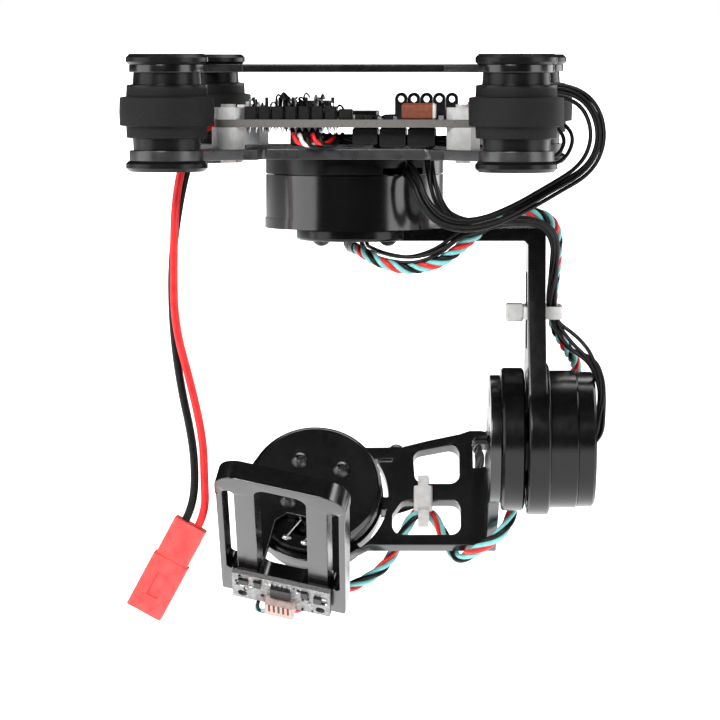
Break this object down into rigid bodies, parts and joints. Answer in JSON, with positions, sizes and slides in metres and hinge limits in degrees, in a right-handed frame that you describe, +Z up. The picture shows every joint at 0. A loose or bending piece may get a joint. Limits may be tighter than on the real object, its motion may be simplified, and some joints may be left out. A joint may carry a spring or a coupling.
{
  "type": "camera gimbal",
  "caption": "Brushless camera gimbal: rubber-damped deck with a controller board, motors for yaw, roll and pitch on angled arms, an open camera tray and a red-plug power lead.",
  "frame": {"origin": "centre of the top plate's upper face, on the yaw axis", "axes": "+Z up along the yaw axis, +X to the side that carries the yaw arm at rest, +Y away from the tray's open end"},
  "size_m": [0.0931, 0.084, 0.1128],
  "materials": {
    "black_anodised": "glossy black anodised",
    "damper_rubber": "matte moulded rubber",
    "circuit_board": "resin laminate with solder mask",
    "nylon": "translucent natural nylon",
    "black_plastic": "moulded black plastic",
    "capacitor_case": "moulded case",
    "steel": "plain steel",
    "black_screw": "black oxide",
    "copper": "enamelled copper wire",
    "magnet": "nickel plated",
    "black_lead": "silicone insulation",
    "red_lead": "silicone insulation",
    "red_plug": "moulded red nylon",
    "twisted_cable": "twisted red, teal, black and grey insulation",
    "foam": "adhesive foam tape",
    "white_connector": "moulded nylon"
  },
  "bodies": {
    "frame": {"top_plate": "black_anodised", "bottom_plate": "black_anodised", "damper_front_left": "damper_rubber", "damper_front_right": "damper_rubber", "damper_rear_left": "damper_rubber", "damper_rear_right": "damper_rubber", "controller_board": "circuit_board", "board_standoffs": "nylon", "board_nuts": "nylon", "board_studs": "nylon", "header_front": "black_plastic", "header_right": "black_plastic", "board_capacitor": "capacitor_case", "board_parts": "black_plastic", "board_plugs": "black_plastic", "yaw_base": "black_anodised", "yaw_core": "steel", "yaw_windings": "copper", "yaw_bearings": "steel", "yaw_base_screws": "steel", "yaw_ribbon": "black_lead", "power_lead_red": "red_lead", "power_lead_black": "black_lead", "power_plug": "red_plug"},
    "yaw_stage": {"yaw_bell": "black_anodised", "yaw_magnets": "magnet", "yaw_shaft": "steel", "yaw_arm": "black_anodised", "yaw_arm_screws": "black_screw", "roll_housing": "black_anodised", "roll_core": "steel", "roll_windings": "copper", "roll_bearings": "steel", "roll_end_cap": "black_anodised", "arm_cable_tie": "nylon", "arm_lead_loom": "black_lead", "imu_cable_upper": "twisted_cable"},
    "roll_stage": {"roll_rotor": "black_anodised", "roll_magnets": "magnet", "roll_shaft": "steel", "roll_arm": "black_anodised", "roll_arm_screws": "black_screw", "pinch_screw": "black_screw", "pitch_housing": "black_anodised", "pitch_core": "steel", "pitch_windings": "copper", "pitch_bearings": "steel", "pitch_end_cap": "black_anodised", "plate_cable_tie": "nylon", "pitch_lead_loom": "black_lead", "imu_cable_lower": "twisted_cable"},
    "pitch_stage": {"pitch_rotor": "black_anodised", "pitch_magnets": "magnet", "pitch_shaft": "steel", "camera_tray": "black_anodised", "tray_screws": "black_screw", "imu_foam": "foam", "imu_board": "circuit_board", "imu_chips": "black_plastic", "imu_connector": "white_connector"}
  },
  "joints": [
    {"name": "yaw", "type": "hinge", "parent": "frame", "child": "yaw_stage", "pos_m": [0, 0, -0.025], "axis": [0, 0, 1], "range_deg": [-94, 85], "deforming": ["arm_lead_loom", "imu_cable_upper", "yaw_ribbon", "power_lead_red", "power_lead_black", "power_plug"]},
    {"name": "roll", "type": "hinge", "parent": "yaw_stage", "child": "roll_stage", "pos_m": [0.03091, 0.00239, -0.074], "axis": [0.997, 0.0772, 0], "range_deg": [-12, 73], "deforming": ["imu_cable_upper", "imu_cable_lower", "power_lead_red", "power_lead_black", "power_plug"]},
    {"name": "pitch", "type": "hinge", "parent": "roll_stage", "child": "pitch_stage", "pos_m": [-0.00974, 0.02082, -0.08678], "axis": [-0.0648, 0.8362, -0.5446], "range_deg": [-103.8, 31.2], "deforming": ["imu_cable_lower", "power_lead_red", "power_lead_black", "power_plug"]}
  ]
}
